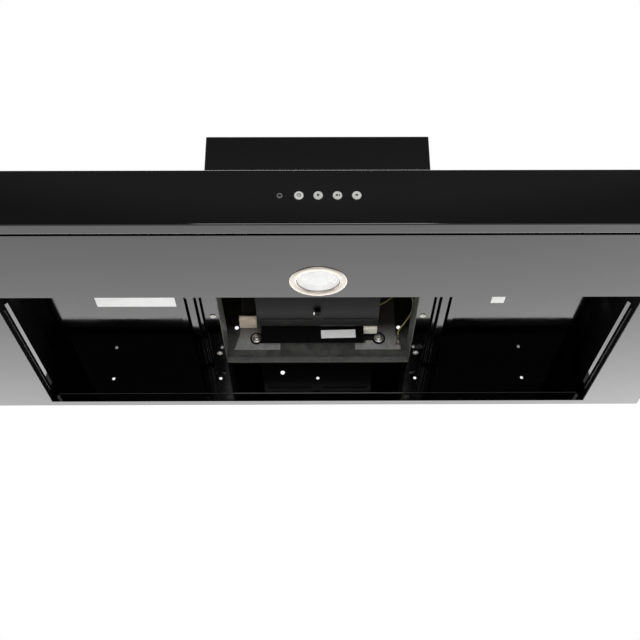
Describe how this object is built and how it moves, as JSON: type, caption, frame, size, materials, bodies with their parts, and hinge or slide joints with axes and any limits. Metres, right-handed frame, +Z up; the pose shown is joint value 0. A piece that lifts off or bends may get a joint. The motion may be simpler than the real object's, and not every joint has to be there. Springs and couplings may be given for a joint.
{
  "type": "under cabinet range hood",
  "caption": "Slim gloss black wall hood: shallow canopy with open filter bay, lamp and push buttons, and a blower box with a damped duct collar on top.",
  "frame": {"origin": "midway between the two wall-hanging holes, on the outer face of the back", "axes": "+X to the right as the user faces the hood, +Y back towards the wall, +Z up"},
  "size_m": [0.914, 0.4812, 0.3284],
  "materials": {
    "gloss_black_enamel": "gloss",
    "galvanised_steel": "satin",
    "bright_zinc": "satin",
    "nickel_screw": "polished",
    "satin_nickel": "satin",
    "black_plastic": "satin",
    "grey_plastic": "satin",
    "white_plastic": "satin",
    "beige_plastic": "satin",
    "frosted_lens": "frosted",
    "dark_lens": "gloss",
    "blank_label": "matte",
    "button_silver": "satin",
    "circuit_board": "satin",
    "motor_steel": "satin",
    "aluminium_sheet": "satin",
    "earth_wire_cover": "satin",
    "spring_steel": "satin",
    "black_rubber": "matte"
  },
  "bodies": {
    "hood": {"front_fascia": "gloss_black_enamel", "end_panel_left": "gloss_black_enamel", "end_panel_right": "gloss_black_enamel", "underside_frame": "gloss_black_enamel", "top_panel": "gloss_black_enamel", "back_panel": "gloss_black_enamel", "filter_rail_left": "gloss_black_enamel", "filter_rail_right": "gloss_black_enamel", "ceiling_stiffener_left": "gloss_black_enamel", "ceiling_stiffener_right": "gloss_black_enamel", "box_wrap": "gloss_black_enamel", "box_back": "galvanised_steel", "box_top": "gloss_black_enamel", "duct_collar": "galvanised_steel", "damper_pin": "spring_steel", "scroll_left": "black_plastic", "scroll_right": "black_plastic", "scroll_screws": "nickel_screw", "inlet_guard_left": "black_plastic", "inlet_guard_right": "black_plastic", "motor_stator": "motor_steel", "motor_case": "motor_steel", "motor_end_cap": "motor_steel", "motor_bearings": "motor_steel", "motor_support": "galvanised_steel", "blower_bracket_left": "bright_zinc", "blower_bracket_right": "bright_zinc", "port_frame": "bright_zinc", "cup_washers": "nickel_screw", "blower_screws": "nickel_screw", "box_screws": "nickel_screw", "control_box": "black_plastic", "control_box_lid": "black_plastic", "control_board": "circuit_board", "run_capacitor": "white_plastic", "control_label": "blank_label", "left_connector": "beige_plastic", "right_connectors": "white_plastic", "earth_terminal": "satin_nickel", "earth_wire": "earth_wire_cover", "lamp_bezel": "satin_nickel", "lamp_lens": "frosted_lens", "lamp_housing": "aluminium_sheet", "lamp_board": "circuit_board", "lamp_spring_clips": "spring_steel", "indicator_lamp": "dark_lens", "switch_carrier": "black_plastic", "switch_board": "circuit_board", "tact_switches": "black_plastic", "ceiling_labels": "blank_label", "cable_grommet": "black_rubber"},
    "impeller_rotor": {"impeller": "galvanised_steel", "motor_shaft": "motor_steel", "motor_rotor": "motor_steel"},
    "front_damper": {"damper_flap_front": "aluminium_sheet"},
    "rear_damper": {"damper_flap_rear": "aluminium_sheet"},
    "timer_button": {"timer_button": "button_silver"},
    "fan_slower_button": {"fan_slower_button": "button_silver"},
    "fan_faster_button": {"fan_faster_button": "button_silver"},
    "light_button": {"light_button": "button_silver"}
  },
  "joints": [
    {"name": "impeller_spin", "type": "hinge", "parent": "hood", "child": "impeller_rotor", "pos_m": [0, -0.13, 0.055], "axis": [1, 0, 0], "continuous": true},
    {"name": "front_damper_hinge", "type": "hinge", "parent": "hood", "child": "front_damper", "pos_m": [0, -0.08, 0.179], "axis": [-1, 0, 0], "range_deg": [0, 75]},
    {"name": "rear_damper_hinge", "type": "hinge", "parent": "hood", "child": "rear_damper", "pos_m": [0, -0.08, 0.179], "axis": [1, 0, 0], "range_deg": [0, 75]},
    {"name": "timer_button_press", "type": "slide", "parent": "hood", "child": "timer_button", "axis": [0, 1, 0], "range_m": [0, 0.0012], "stiffness_N_per_m": 400},
    {"name": "fan_slower_button_press", "type": "slide", "parent": "hood", "child": "fan_slower_button", "axis": [0, 1, 0], "range_m": [0, 0.0012], "stiffness_N_per_m": 400},
    {"name": "fan_faster_button_press", "type": "slide", "parent": "hood", "child": "fan_faster_button", "axis": [0, 1, 0], "range_m": [0, 0.0012], "stiffness_N_per_m": 400},
    {"name": "light_button_press", "type": "slide", "parent": "hood", "child": "light_button", "axis": [0, 1, 0], "range_m": [0, 0.0012], "stiffness_N_per_m": 400}
  ]
}
